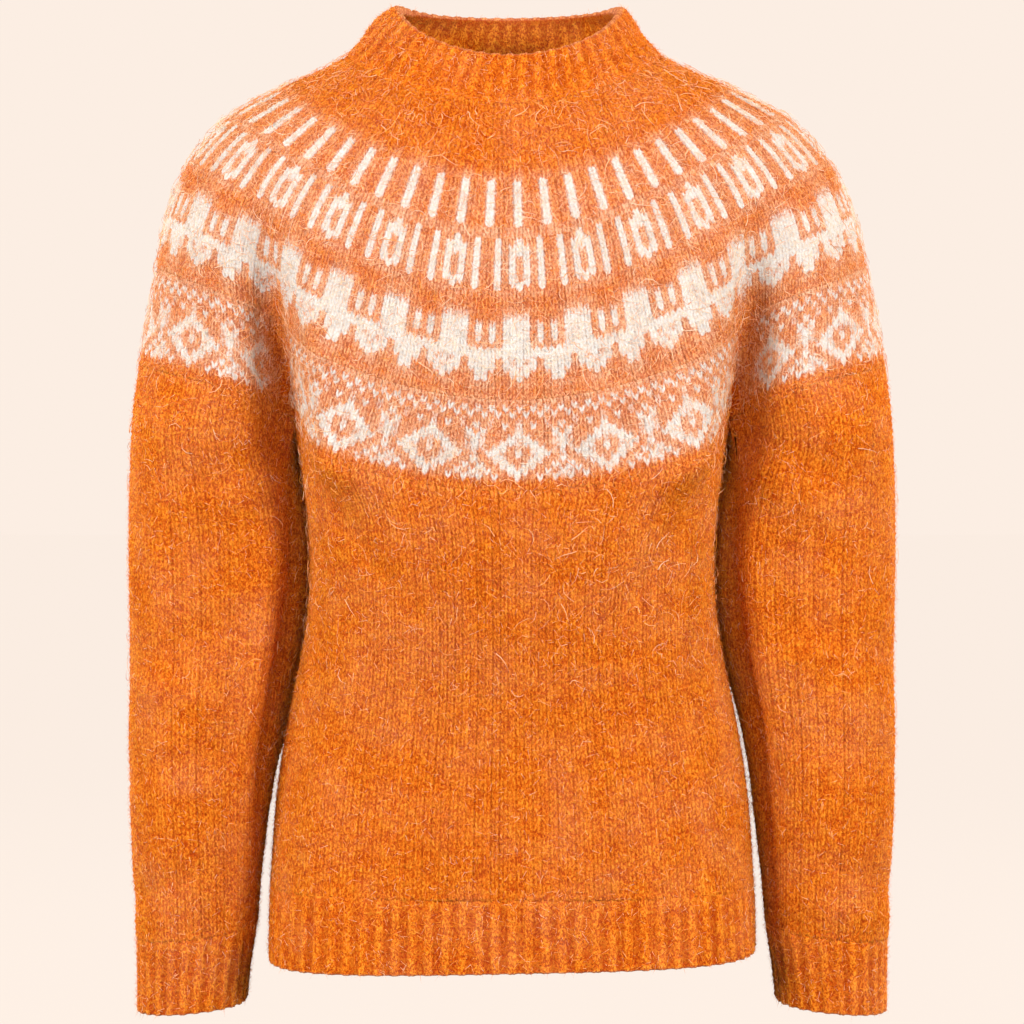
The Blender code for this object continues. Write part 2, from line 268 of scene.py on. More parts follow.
def lofted(rings):
    """Rows of points, evenly far apart, on a smooth curve through the rings."""
    rings = np.array(rings)
    steps = norm(np.diff(rings, axis=0), axis=2).mean(axis=1)
    marks = np.concatenate([[0.0], np.cumsum(steps) / steps.sum()])
    table = np.concatenate([marks[:, None], rings.reshape(len(rings), -1)], axis=1)
    names = range(table.shape[1])
    rows = []
    for share in np.linspace(0, 1, DOWN):
        row = row_at(table, names, share)
        rows.append([row[i] for i in names[1:]])
    return np.array(rows).reshape(DOWN, -1, 3)


class Surface:
    """A tube of cloth, a grid of points by share of the way down and fraction of the way round."""

    def __init__(self, grid):
        self.grid = grid
        self.length = norm(np.diff(grid, axis=0), axis=2).sum(axis=0).mean()
        self.find_normals()

    def find_normals(self):
        across = np.roll(self.grid, -1, axis=1) - np.roll(self.grid, 1, axis=1)
        down = np.gradient(self.grid, axis=0)
        normals = np.cross(down, across)
        self.normals = normals / norm(normals, axis=2, keepdims=True)
        self.downs = down / norm(down, axis=2, keepdims=True)

    def rounds(self):
        """The length of each of the grid's rows."""
        return norm(np.roll(self.grid, -1, axis=1) - self.grid, axis=2).sum(axis=1)

    def at(self, shares, fractions):
        """Points, outward normals and downward directions there."""
        shares, fractions = np.broadcast_arrays(shares, fractions)
        rows, columns = self.grid.shape[:2]
        row = np.clip(shares, 0, 1) * (rows - 1)
        i = np.minimum(row.astype(int), rows - 2)
        s = (row - i)[..., None]
        column = (fractions % 1.0) * columns
        j = column.astype(int) % columns
        k = (j + 1) % columns
        t = (column - np.floor(column))[..., None]
        found = []
        for grid in (self.grid, self.normals, self.downs):
            upper = grid[i, j] * (1 - t) + grid[i, k] * t
            lower = grid[i + 1, j] * (1 - t) + grid[i + 1, k] * t
            found.append(upper * (1 - s) + lower * s)
        for grid in found[1:]:
            grid /= norm(grid, axis=-1, keepdims=True)
        return found

    def sink(self, fraction, width, depth):
        """Lowers the top edge about a fraction of the way round."""
        shares = np.linspace(1, 0, len(self.grid))[:, None]
        far = (np.arange(self.grid.shape[1]) / self.grid.shape[1] - fraction) * self.rounds()[0]
        self.grid[..., 2] -= depth * shares**2 * np.exp(-((far / width) ** 2))
        self.find_normals()

    def crease(self, folds):
        """Soft troughs and ridges, from tables such as NECK_FOLDS."""
        shares = np.linspace(0, 1, len(self.grid))[:, None]
        fractions = np.arange(self.grid.shape[1]) / self.grid.shape[1]
        wide = self.rounds()[:, None]
        lift = np.zeros(self.grid.shape[:2])
        for start, start_share, end, end_share, width, height in np.array(folds) * FOLD_UNITS:
            dx, dy = (end - start) * wide.mean(), (end_share - start_share) * self.length
            far = math.hypot(dx, dy)
            x = ((fractions - start + 0.5) % 1.0 - 0.5) * wide
            y = (shares - start_share) * self.length
            along = (x * dx + y * dy) / far**2
            aside = (x * dy - y * dx) / far
            middle = np.clip(along, 0, 1)
            beyond = (along - middle) * far
            fade = FOLD_END + (1 - FOLD_END) * np.sin(np.pi * middle) ** FOLD_FADE
            lift += height * fade * np.exp(-((aside / width) ** 2) - (beyond / (FOLD_TIP * width)) ** 2)
        self.grid = self.grid + self.normals * lift[..., None]
        self.find_normals()


def yoke_surface(table):
    rings = [evenly(yoke_ring(row_at(table, RING_COLUMNS, s))) for s in np.linspace(0, 1, DOWN)]
    return Surface(np.array(rings))


def body_surfaces():
    top = evenly(body_top())
    rings = [top, top - np.array([0, 0, BODY_BAND])]
    rings += sections(body_section, BODY, BODY_COLUMNS, top[:, 2], HEM_RIB_TOP_Z)
    hem_z = HEM_Z + HEM_TILT * rings[-1][:, 0]
    rib = sections(body_section, HEM_RIB, BODY_COLUMNS, HEM_RIB_TOP_Z, hem_z)
    return Surface(lofted(rings)), Surface(lofted(rib))


def sleeve_surfaces():
    top = evenly(sleeve_top())
    flat = sleeve_section(dict(zip(SLEEVE_COLUMNS, SLEEVE[-1])), 0.0)
    cuff_top_z = tilted(flat, CUFF_TOP_OUTER_Z, CUFF_TOP_INNER_Z)
    cuff_end_z = tilted(flat, CUFF_END_OUTER_Z, CUFF_END_INNER_Z)
    sleeve = [top] + sections(sleeve_section, SLEEVE, SLEEVE_COLUMNS, top[:, 2], cuff_top_z)
    cuff = sections(sleeve_section, CUFF, SLEEVE_COLUMNS, cuff_top_z, cuff_end_z)
    return Surface(lofted(sleeve)), Surface(lofted(cuff))


def mirrored(surface):
    """The same surface on the other side, still going round anticlockwise seen from above."""
    grid = surface.grid * np.array([-1, 1, 1])
    return Surface(np.roll(grid[:, ::-1], 1, axis=1))


# ---- the knitting

# The pattern, one string a row from the neck down: X is a cream stitch, m a stitch of both colours and a dot
# an orange one. Each repeat is written about the middle of the front.
BARS = [".X."] * 8
OVALS = (
    [".X..X..X."]
    + [".X.XXX.X."] * 2
    + [".X.X.X.X."] * 4
    + [".X.XXX.X."]
    + [".X..X..X."]
)
COMBS = ["mmmm.....", "XXXX.m.m."] + ["XXXX.X.X."] * 3 + ["XXXX....."]
POINTS = [".XmXmX.XXXX", ".XXmXX.XXXX", "..XXX...XX.", "...X....XX."]
ZIGZAG = [".X.X.X.X.X.X", "X.X.X.X.X.X."]
DOTS = [".m...m...m..", ".m.X.m.X.m.X"]
DIAMONDS = [
    "X....X....X.",
    "m...XXX...mX",
    "m..XXmXX..mX",
    "m.XX.m.XX.mX",
    ".XXm.X.mXX.m",
    "..XX...XX..X",
    "X..XX.XX..X.",
    "mX..XXX..X.X",
    "X.X..X..X.Xm",
]
# Stitches round the yoke, their chart, and which of its columns is at the middle of the front.
YOKE_BANDS = (
    (108, ["."] * 7, 0),
    (124, ["."] * 7, 0),
    (144, BARS, 1),
    (180, ["."] * 2, 0),
    (216, OVALS, 4),
    (236, ["."] * 4, 0),
    (252, COMBS + ["X"] * 2, 2),
    (264, POINTS, 3),
    (276, ["."] * 3, 0),
    (288, ["."] + ZIGZAG + DOTS + DIAMONDS + ["."] * 2, 5),
)
UPPER_BANDS = 9  # how many of them make the yoke's upper mesh
PATTERN_TURN = (0.011, 0.002)  # how far round the pattern's middle lies, at the yoke's top and its bottom
CREAM = {".": 0.0, "m": 0.5, "X": 1.0}
CHART_COLUMNS = 1152  # columns on which the haze of cream fibres is worked out
HAZE_ROWS, HAZE_COLUMNS = 5, 60  # how often it is blurred down the rows and along them
HAZE_CHARTED = 2.2  # its strength in rows with cream stitches
HAZE_PLAIN, HAZE_BELOW = 5.2, 0.9  # its strength in plain rows between those, and below them
HAZE_FADE = 1.4  # over how many rows it fades on the pieces below the yoke
# The strip beside each arm where the pattern hardly shows, a painted shade of the recess between arm and
# body: its middle, its half width, how much of the pattern it takes away there, and between which shares of
# the way down it sets in.
BESIDE_X, BESIDE_WIDTH, BESIDE_PAINTED_SHADE = 0.161, 0.010, 0.85
BESIDE_START, BESIDE_END = 0.58, 0.78

BODY_STITCHES, BODY_ROWS = 160, 69
HEM_STITCHES, HEM_ROWS = 168, 12
SLEEVE_STITCHES, CUFF_STITCHES, SLEEVE_ROWS, CUFF_ROWS = 66, 52, 90, 12
NECK_STITCHES, NECK_ROWS = 96, 13

# The relief over a stitch in metres: a line at the row's top edge and one at its middle, with a column at
# the stitch's edge, on its left leg, in its middle and on its right leg.
STOCKING = np.array(((-0.00100, -0.00005, -0.00070, -0.00005), (-0.00095, 0.00060, -0.00055, 0.00060)))
# The same for a rib of one raised stitch and one sunk.
RIB = np.array(
    (
        (-0.0006, 0.0004, 0.0000, 0.0004, -0.0006, -0.0011, -0.0012, -0.0011),
        (-0.0005, 0.0009, 0.0003, 0.0009, -0.0005, -0.0011, -0.0009, -0.0011),
    )
)
BEND = np.array((-0.38, 0.0, 0.38, 0.0))  # how far a row's line is bent down at each column, in rows
RIB_BEND = np.append(BEND, [BEND[0]] * 4)
UNEVEN = 0.00014  # how unevenly the yarn lies, in metres
RAISED = (0.75, 1.25)  # how high a column of stitches is, as shares of its relief
STRAY = 0.06  # how far a column strays sideways, in columns
GONE = -0.0004  # the relief of columns that have run out
SETTLED = 0.15  # how much of a rib's relief is left where it meets another piece
INSIDE = -0.0028  # where the cloth's inside lies
INNER_RELIEF = 0.45  # how much of the relief shows on a rib's inside
INNER_SHADES = (2.2, 0.0003)  # the painted valley shade on a rib's inside reads that relief times the first, plus the second
PLAIN_SHADE = -0.0002  # the relief that the painted valley shade reads inside plain knitting
RIM_RELIEF = 0.8  # how much of the relief goes on over a rim
NECK_SWELL = 0.0012  # how much the neckband's rim swells inwards
SIDE_SWELL = 3.2  # how many times that much more it swells at the jumper's sides
SWELL_ROWS = 1.5  # over how many rows the swelling fades
RIM_PAINTED_HIGHLIGHT = 0.38  # a painted highlight: how pale a rim is painted, through its haze value
EDGE = 0.0002  # the relief along the edge of a piece that meets another
JOIN_SHADE = 0.0  # the relief that the painted valley shade reads there
TUCK = 0.00003  # how far behind a piece's outer edge its end wall starts
JOINED, FREE = "joined", "free"  # an end that meets another piece, and one with a rounded rim
TOUCHING = 0.00001  # points nearer than this are merged


def yoke_chart():
    """Each row of the yoke as (stitches, cream of each stitch, haze of cream fibres over it)."""
    rows = []
    for stitches, chart, middle in YOKE_BANDS:
        for line in chart:
            rows.append(np.array([CREAM[line[(k + middle) % len(line)]] for k in range(stitches)]))
    place = np.arange(CHART_COLUMNS) / CHART_COLUMNS
    grid = np.array([row[np.round(place * len(row)).astype(int) % len(row)] for row in rows])
    for _ in range(HAZE_ROWS):
        padded = np.pad(grid, ((1, 1), (0, 0)))
        grid = (padded[:-2] + 2 * grid + padded[2:]) / 4
    for _ in range(HAZE_COLUMNS):
        grid = (np.roll(grid, 1, axis=1) + 2 * grid + np.roll(grid, -1, axis=1)) / 4
    last = max(k for k, row in enumerate(rows) if row.any())
    found = []
    for k, (row, blurred) in enumerate(zip(rows, grid)):
        at = np.round(np.arange(len(row)) / len(row) * CHART_COLUMNS).astype(int) % CHART_COLUMNS
        strength = HAZE_CHARTED if row.any() else HAZE_PLAIN if k < last else HAZE_BELOW
        found.append((len(row), row, np.clip(blurred[at] * strength, 0, 1)))
    return found


def pattern_under_painted_shade(points, shares):
    """How much of the pattern shows: beside the arms, a painted shade of the recess turns its cream orange.
    """
    beside = np.exp(-(((np.abs(points[:, 0]) - BESIDE_X) / BESIDE_WIDTH) ** 2))
    return 1 - BESIDE_PAINTED_SHADE * beside * smooth_step(shares, BESIDE_START, BESIDE_END)


class Tube:
    """Rings of points that become one closed mesh, with a few values a point."""

    NAMES = ("relief", "cream", "haze", "tone")

    def __init__(self):
        self.rings = []  # (points, order round the ring, values a point, line number)

    def add(self, points, order, values=(), line=0.0):
        """values are the relief, which sets the painted valley shade, the cream, the haze and the tone at
        each point; those not given are 0.
        """
        table = np.zeros((len(points), len(self.NAMES)))
        for k, value in enumerate(values):
            table[:, k] = value
        self.rings.append((points, order, table, line))

    def mesh(self, name):
        starts = np.cumsum([0] + [len(r[0]) for r in self.rings])
        corners, sizes, places = [], [], []
        for i, (points, order, _, line) in enumerate(self.rings):
            after = (i + 1) % len(self.rings)
            other = self.rings[after]
            a, b = starts[i], starts[after]
            n, m = len(points), len(other[0])
            down = other[3] if after else line + 1
            k = np.arange(n)
            faces = np.stack([k, -k - 1, -k - 2, k + 1], axis=1) if n == m else zipped(order, other[1])
            upper = faces >= 0
            corners.append(np.where(upper, a + faces % n, b + (-faces - 1) % m).ravel())
            sizes.append(np.full(len(faces), faces.shape[1]))
            across = np.where(upper, faces, (-faces - 1) * n / m) / 4
            places.append(np.stack([across, np.where(upper, line, down)], axis=2).reshape(-1, 2))
        points = np.vstack([r[0] for r in self.rings])
        mesh = mesh_of(name, points, np.concatenate(corners), np.concatenate(sizes))
        values = np.vstack([r[2] for r in self.rings])
        for k, attribute in enumerate(self.NAMES):
            add_values(mesh, attribute, values[:, k])
        uv = mesh.uv_layers.new(name="stitches")
        uv.data.foreach_set("uv", np.concatenate(places).astype(np.float32).ravel())
        return mesh


def mesh_of(name, points, corners, sizes):
    """A smooth mesh from its points, the points of its faces' corners, and how many corners each face has."""
    mesh = bpy.data.meshes.new(name)
    mesh.vertices.add(len(points))
    mesh.vertices.foreach_set("co", points.astype(np.float32).ravel())
    mesh.loops.add(len(corners))
    mesh.loops.foreach_set("vertex_index", corners.astype(np.int32))
    mesh.polygons.add(len(sizes))
    mesh.polygons.foreach_set("loop_start", (np.cumsum(sizes) - sizes).astype(np.int32))
    mesh.update(calc_edges=True)
    mesh.shade_smooth()
    return mesh


def add_values(mesh, attribute, values):
    layer = mesh.attributes.new(attribute, "FLOAT", "POINT")
    layer.data.foreach_set("value", values.astype(np.float32))


def zipped(upper, lower):
    """Triangles between two rings with different numbers of points.

    A point of the upper ring is its index, and one of the lower ring is minus its index, less one.
    """
    faces = []
    i = j = 0
    n, m = len(upper), len(lower)
    while i < n or j < m:
        next_upper = upper[i + 1] if i + 1 < n else 1 + upper[0]
        next_lower = lower[j + 1] if j + 1 < m else 1 + lower[0]
        if j >= m or (i < n and next_upper <= next_lower):
            faces.append((i, -j - 1, i + 1))
            i += 1
        else:
            faces.append((i, -j - 1, -j - 2))
            j += 1
    return np.array(faces)


@dataclass
class Knitting:
    """What rows of knitting on a surface have in common."""

    surface: Surface
    relief: np.ndarray
    bend: np.ndarray
    total: int  # rows
    real: tuple = None  # the stitches round at the top and the bottom, where columns run out inside a sleeve
    turn: tuple = (0, 0)  # how far round the first column lies, at the top and the bottom
    settle: tuple = (0, 0)  # over how many rows the relief grows from each end
    swell: float = 0.0  # how much thicker the cloth is inside its upper rim
    reach: tuple = (0, 0)  # how far its ends go on past the surface, towards the next piece
    haze: float = 0.0  # how pale the yoke's fibres make its top

    def place(self, share, columns):
        """The fraction of the way round of each column, which of them have run out, and their order."""
        column = np.arange(columns)
        if self.real is None:
            order = (column - 2) / columns
            return order + np.interp(share, (0, 1), self.turn), np.zeros(columns, bool), order
        order = (column / 4 - columns / 8) / np.interp(share, (0, 1), self.real)
        gone = np.abs(order) >= 0.5
        order = np.clip(order, -0.5, 0.5) + 0.5
        return order + 0.5, gone, order

    def heights(self, row, line, columns, gone):
        relief = self.relief[line % 2][np.arange(columns) % self.relief.shape[1]]
        grown = 1.0
        for far, rows in ((row, self.settle[0]), (self.total - row, self.settle[1])):
            if rows:
                grown *= SETTLED + (1 - SETTLED) * float(smooth_step(far, 0.0, rows))
        height = relief * grown + random.normal(0, UNEVEN, columns)
        return np.where(gone, GONE, height)

    def add_rows(self, tube, first, rows, stitches, ends, charts=None):
        """The outside of the rows from row number first.

        ends says how its first and last lines end a piece: JOINED or FREE, or None where the piece goes on.
        """
        columns = 4 * stitches
        bend = self.bend[np.arange(columns) % len(self.bend)] / self.total
        wobble = smooth_noise(columns)
        raised = np.repeat(random.uniform(*RAISED, stitches), 4)
        for line in range(2 * rows + (ends[1] is not None)):
            row = first + line / 2
            share = row / self.total
            places, gone, order = self.place(share, columns)
            shares = np.where(gone, share, share + (0 if line in (0, 2 * rows) else bend))
            height = self.heights(row, line, columns, gone) * np.where(gone, 1, raised)
            joined = {0: ends[0], 2 * rows: ends[1]}.get(line) == JOINED
            if joined:
                height = np.full(columns, EDGE)
            places = places + np.where(gone, 0, wobble) * STRAY / columns
            points, normals, downs = self.surface.at(shares, places)
            if joined:
                points = points + downs * (self.reach[1] if line else -self.reach[0])
            cream, haze = 0.0, self.haze * math.exp(-((row / HAZE_FADE) ** 2))
            if charts:
                # beside the arms a painted shade of the recess takes the cream and haze away
                cream, haze = self.coloured(charts, first, rows, line) * pattern_under_painted_shade(points, share)
            # the first value is the relief that the painted valley shade reads; at joins it is JOIN_SHADE
            shown = JOIN_SHADE if joined else height
            values = (shown, cream, haze, np.repeat(random.random(stitches), 4))
            layers = [points + normals * height[:, None]]
            if joined:
                layers.insert(0 if line == 0 else 1, layers[0] - normals * TUCK)
            for layer in layers:
                tube.add(layer, order, values, row)

    def coloured(self, charts, first, rows, line):
        """The cream and the haze at a line's points, mixed where two stitches or two rows meet."""
        row = first + min(line // 2, rows - 1)
        _, cream, haze = charts[row]
        if line % 2 == 0 and 0 < line < 2 * rows:
            cream, haze = (cream + charts[row - 1][1]) / 2, (haze + charts[row - 1][2]) / 2
        found = []
        for values in (cream, haze):
            stretched = np.repeat(values, 4)
            stretched[::4] = (values + np.roll(values, 1)) / 2
            found.append(stretched)
        return np.array(found)

    def inner(self, columns, share):
        """How high the cloth's inside lies, with part of the relief of its outside."""
        relief = self.relief[1][np.arange(columns) % self.relief.shape[1]]
        sideways = np.sin(2 * np.pi * np.arange(columns) / columns) ** 8
        fade = math.exp(-((share * self.total / SWELL_ROWS) ** 2))
        return INSIDE + INNER_RELIEF * relief - self.swell * fade * (1 + SIDE_SWELL * sideways)

    def add_rim(self, tube, stitches, share, below):
        """A rounded edge: the lower end's from the outside in, or the upper one's from the inside out."""
        columns = 4 * stitches
        places, gone, order = self.place(share, columns)
        outer = self.heights(share * self.total, 1, columns, gone) * RIM_RELIEF
        inner = self.inner(columns, share)
        points, normals, downs = self.surface.at(share, places)
        angles = np.radians((30, 60, 90, 120, 150))
        for angle in angles if below else angles[::-1]:
            out = (outer + inner) / 2 + (outer - inner) / 2 * math.cos(angle)
            beyond = (outer - inner) / 2 * math.sin(angle) * (1 if below else -1)
            edge = points + normals * out[:, None] + downs * beyond[:, None]
            # the haze on the rim is a painted highlight along its edge
            tube.add(edge, order, (outer, 0.0, RIM_PAINTED_HIGHLIGHT))

    def add_ribbed_inside(self, tube, stitches, lines):
        """A rib's inside, from its lower end to its upper one."""
        columns = 4 * stitches
        for share in np.linspace(1, 0, lines):
            places, gone, order = self.place(share, columns)
            inner = self.inner(columns, share)
            points, normals, _ = self.surface.at(share, places)
            # painted shade: the rib's inside is darkened in its valleys through this relief value
            shade = (inner - INSIDE) * INNER_SHADES[0] + INNER_SHADES[1]
            tube.add(points + normals * inner[:, None], order, (shade, 0.0, 0.0, 0.5))

    def add_plain_inside(self, tube, stitches, lines, start=0.0, end=1.0):
        """The cloth's inside, from its lower end to its upper one, with a column a stitch."""
        shift = 0.0 if self.real is None else 0.5
        fractions = (np.arange(stitches) - 0.5) / stitches + shift
        for share in np.linspace(end, start, lines):
            places = fractions + shift + np.interp(share, (0, 1), self.turn)
            points, normals, downs = self.surface.at(share, places)
            beyond = self.reach[1] * (share == 1) - self.reach[0] * (share == 0)
            tube.add(points + normals * INSIDE + downs * beyond, fractions, (PLAIN_SHADE,))


def smooth_noise(count):
    """Random values that change slowly round a ring, from about -1 to 1."""
    place = np.arange(count) / count
    found = np.zeros(count)
    for octave in range(3):
        found += np.sin(2 * np.pi * (place * (3 + 4 * octave) + random.random())) / (octave + 1)
    return found


# ---- materials

ORANGE_DARK = (0.40, 0.036, 0.0003, 1)
ORANGE = (0.76, 0.140, 0.002, 1)
ORANGE_LIGHT = (1.0, 0.350, 0.023, 1)
SALMON = (0.95, 0.60, 0.39, 1)
CREAM_YARN = (0.86, 0.84, 0.80, 1)
CREAM_SHADE = (0.82, 0.68, 0.55, 1)
CREAM_FIBRE = (0.95, 0.80, 0.60, 1)
SOFT = {  # what the wool and its fibres share
    "Roughness": 0.95,
    "Specular IOR Level": 0.15,
    "Sheen Roughness": 0.32,
    "Sheen Tint": (1.0, 0.42, 0.06, 1),
}


def put(node, values):
    """Sets or joins a node's sockets, by name or number."""
    for key, value in values.items():
        socket = node.inputs[key]
        if isinstance(value, bpy.types.NodeSocket):
            node.id_data.links.new(value, socket)
        else:
            socket.default_value = value


class Nodes:
    """A material's node tree, with short ways to add to it."""

    def __init__(self, name):
        self.material = bpy.data.materials.new(name)
        self.material.use_nodes = True
        self.tree = self.material.node_tree
        self.shader = self.tree.nodes["Principled BSDF"]

    def add(self, kind, output, values, **settings):
        node = self.tree.nodes.new(f"ShaderNode{kind}")
        for name, value in settings.items():
            setattr(node, name, value)
        put(node, values)
        return node.outputs[output]

    def attribute(self, name):
        return self.add("Attribute", "Fac", {}, attribute_name=name)

    def noise(self, scale, detail, stretch=(1, 1, 1)):
        place = self.add("TexCoord", "Object", {})
        place = self.add("Mapping", "Vector", {"Vector": place, "Scale": stretch})
        return self.add("TexNoise", "Fac", {"Vector": place, "Scale": scale, "Detail": detail})

    def ranged(self, value, low, high, to_low=0.0, to_high=1.0):
        ends = {"From Min": low, "From Max": high, "To Min": to_low, "To Max": to_high}
        return self.add("MapRange", "Result", {"Value": value, **ends})

    def times(self, a, b):
        return self.add("Math", "Value", {0: a, 1: b}, operation="MULTIPLY")

    def plus(self, a, b):
        return self.add("Math", "Value", {0: a, 1: b}, operation="ADD", use_clamp=True)

    def mixed(self, share, a, b):
        return self.add("Mix", "Result", {"Factor": share, "A": a, "B": b}, data_type="RGBA")


def make_wool():
    """Brushed wool whose colour, tone and painted shade in the stitches' valleys, set by the relief, come
    from the stitches under it.
    """
    nodes = Nodes("brushed_wool")
    fine = nodes.noise(1500, 2, (1, 1, 0.65))
    speck = nodes.noise(700, 2, (1, 1, 0.7))
    patch = nodes.noise(120, 3)
    broad = nodes.noise(26, 3)
    fibre = nodes.ranged(speck, 0.39, 0.61, 0.0, 0.52)
    for more in (
        nodes.ranged(fine, 0.36, 0.64, 0.0, 0.42),
        nodes.ranged(nodes.attribute("tone"), 0, 1, -0.10, 0.12),
        nodes.ranged(patch, 0.3, 0.7, -0.10, 0.12),
    ):
        fibre = nodes.plus(fibre, more)
    orange = nodes.mixed(nodes.ranged(fibre, 0.0, 0.45), ORANGE_DARK, ORANGE)
    orange = nodes.mixed(nodes.ranged(fibre, 0.40, 0.92), orange, ORANGE_LIGHT)
    orange = nodes.mixed(nodes.ranged(broad, 0.42, 0.75, 0.0, 0.10), orange, SALMON)
    haze = nodes.times(nodes.attribute("haze"), nodes.ranged(fibre, 0.25, 0.85, 0.35, 1.0))
    orange = nodes.mixed(haze, orange, SALMON)
    cream = nodes.mixed(nodes.ranged(speck, 0.30, 0.55), CREAM_SHADE, CREAM_YARN)
    edge = nodes.plus(nodes.attribute("cream"), nodes.ranged(speck, 0.3, 0.7, -0.25, 0.25))
    colour = nodes.mixed(nodes.ranged(edge, 0.28, 0.80), orange, cream)
    # painted shade: the colour darkens towards ORANGE_DARK where the relief is low, as shade in the valleys
    # between stitches, less on cream
    painted_valley_shade = nodes.ranged(nodes.attribute("relief"), -0.0012, 0.0002, 0.58, 0.0)
    painted_valley_shade = nodes.times(painted_valley_shade, nodes.ranged(nodes.attribute("cream"), 0, 1, 1.0, 0.30))
    colour = nodes.mixed(painted_valley_shade, colour, ORANGE_DARK)
    bump = nodes.add("Bump", "Normal", {"Strength": 0.8, "Distance": 0.001, "Height": fibre})
    put(nodes.shader, {"Base Color": colour, "Normal": bump, "Sheen Weight": 0.42} | SOFT)
    return nodes.material


def make_fibre_wool():
    """The loose fibres: paler than the yarn they stand on."""
    nodes = Nodes("wool_fibres")
    tone = nodes.attribute("tone")
    orange = nodes.mixed(nodes.ranged(tone, 0.0, 0.8), ORANGE, ORANGE_LIGHT)
    orange = nodes.mixed(nodes.ranged(tone, 0.7, 1.0), orange, SALMON)
    colour = nodes.mixed(nodes.attribute("cream"), orange, CREAM_FIBRE)
    put(nodes.shader, {"Base Color": colour, "Sheen Weight": 0.15} | SOFT)
    return nodes.material


WOOL = make_wool()
FIBRES = make_fibre_wool()


# ---- making the pieces

# Lines of the inside of a rib, the neckband, a plain piece and half the yoke, and columns of the last.
RIB_LINES, NECK_LINES, PLAIN_LINES, YOKE_LINES, YOKE_COLUMNS = 3, 9, 9, 12, 120
TAPER = 0.6  # how much narrower a fibre is just before its tip
FIBRE_WIDTH, FIBRE_LENGTHS = 0.00032, (0.0030, 0.0075)
FIBRE_LIFTS = (0.08, 0.65)  # how steeply a fibre stands
HAIR_WIDTH, HAIR_LENGTHS = 0.00042, (0.006, 0.019)
HAIR_PARTS = 4  # straight parts of a hair
HAIR_CURL, HAIR_TWIST = 2.6, 0.8  # how far a hair curls in radians, and how much that changes a part
HAIR_LIFT, HAIR_RISES = 0.0008, (0.0004, 0.0026)  # how high a hair lies, and how much higher it arches
HAIR_PALE, HAIR_PALER = 0.42, 0.55  # how cream a hair is at most, and how much more so in the haze


def linked(name, data):
    thing = bpy.data.objects.new(name, data)
    bpy.context.scene.collection.objects.link(thing)
    return thing


def placed(mesh, material):
    mesh.materials.append(material)
    return linked(mesh.name, mesh)


def make_yoke(surface):
    """The yoke's upper and lower meshes, and its chart."""
    charts = yoke_chart()
    knitting = Knitting(surface, STOCKING, BEND, len(charts), turn=PATTERN_TURN, reach=(0.00015, 0))
    first = 0
    made = []
    halves = (("upper", YOKE_BANDS[:UPPER_BANDS]), ("lower", YOKE_BANDS[UPPER_BANDS:]))
    for half, bands in halves:
        tube = Tube()
        start = first
        for i, (stitches, chart, _) in enumerate(bands):
            ends = (JOINED if i == 0 else None, JOINED if i == len(bands) - 1 else None)
            knitting.add_rows(tube, first, len(chart), stitches, ends, charts)
            first += len(chart)
        knitting.add_plain_inside(tube, YOKE_COLUMNS, YOKE_LINES, start / len(charts), first / len(charts))
        made.append(placed(tube.mesh(f"yoke_{half}_knit"), WOOL))
    return made, charts


def make_plain(name, surface, rows, stitches, reach, haze, real=None):
    knitting = Knitting(surface, STOCKING, BEND, rows, real, reach=reach, haze=haze)
    tube = Tube()
    knitting.add_rows(tube, 0, rows, stitches, (JOINED, JOINED))
    knitting.add_plain_inside(tube, stitches, PLAIN_LINES)
    piece = placed(tube.mesh(name), WOOL)
    if real:
        merge(piece.data)
    return piece


def make_rib(name, surface, rows, stitches):
    """A rib with a rounded rim at its lower end."""
    knitting = Knitting(surface, RIB, RIB_BEND, rows, settle=(3, 0), reach=(0.0002, 0))
    tube = Tube()
    knitting.add_rows(tube, 0, rows, stitches, (JOINED, FREE))
    knitting.add_rim(tube, stitches, 1.0, True)
    knitting.add_ribbed_inside(tube, stitches, RIB_LINES)
    return placed(tube.mesh(name), WOOL)


def make_neckband(surface):
    """A rib with a rounded rim at its upper end, which swells inwards."""
    reach = (0, 0.00015)
    knitting = Knitting(surface, RIB, RIB_BEND, NECK_ROWS, settle=(0, 3), swell=NECK_SWELL, reach=reach)
    tube = Tube()
    knitting.add_rows(tube, 0, NECK_ROWS, NECK_STITCHES, (FREE, JOINED))
    knitting.add_ribbed_inside(tube, NECK_STITCHES, NECK_LINES)
    knitting.add_rim(tube, NECK_STITCHES, 0.0, False)
    return placed(tube.mesh("neckband_knit"), WOOL)


def merge(mesh):
    """Columns that ran out lie on each other, and are merged."""
    grid = bmesh.new()
    grid.from_mesh(mesh)
    bmesh.ops.remove_doubles(grid, verts=grid.verts, dist=TOUCHING)
    grid.to_mesh(mesh)
    grid.free()


def ribbons(name, lines, flat, width, creams):
    """Ribbons that taper to a point, from their points, root first. flat is the way they are wide."""
    count, last = len(creams), len(lines) - 1
    points = []
    for i in range(last):
        half = width * (1 - TAPER * i / last) / 2
        points += [lines[i] - flat * half, lines[i] + flat * half]
    points.append(lines[-1])
    rows = [np.arange(count) + k * count for k in range(len(points))]
    faces = [[rows[2 * i + k] for k in (0, 1, 3, 2)] for i in range(last - 1)] + [rows[-3:]]
    corners = [np.stack(face, axis=1).ravel() for face in faces]
    sizes = [np.full(count, len(face)) for face in faces]
    mesh = mesh_of(name, np.vstack(points), np.concatenate(corners), np.concatenate(sizes))
    add_values(mesh, "cream", np.tile(creams, len(points)))
    add_values(mesh, "tone", np.tile(random.random(count), len(points)))
    return mesh


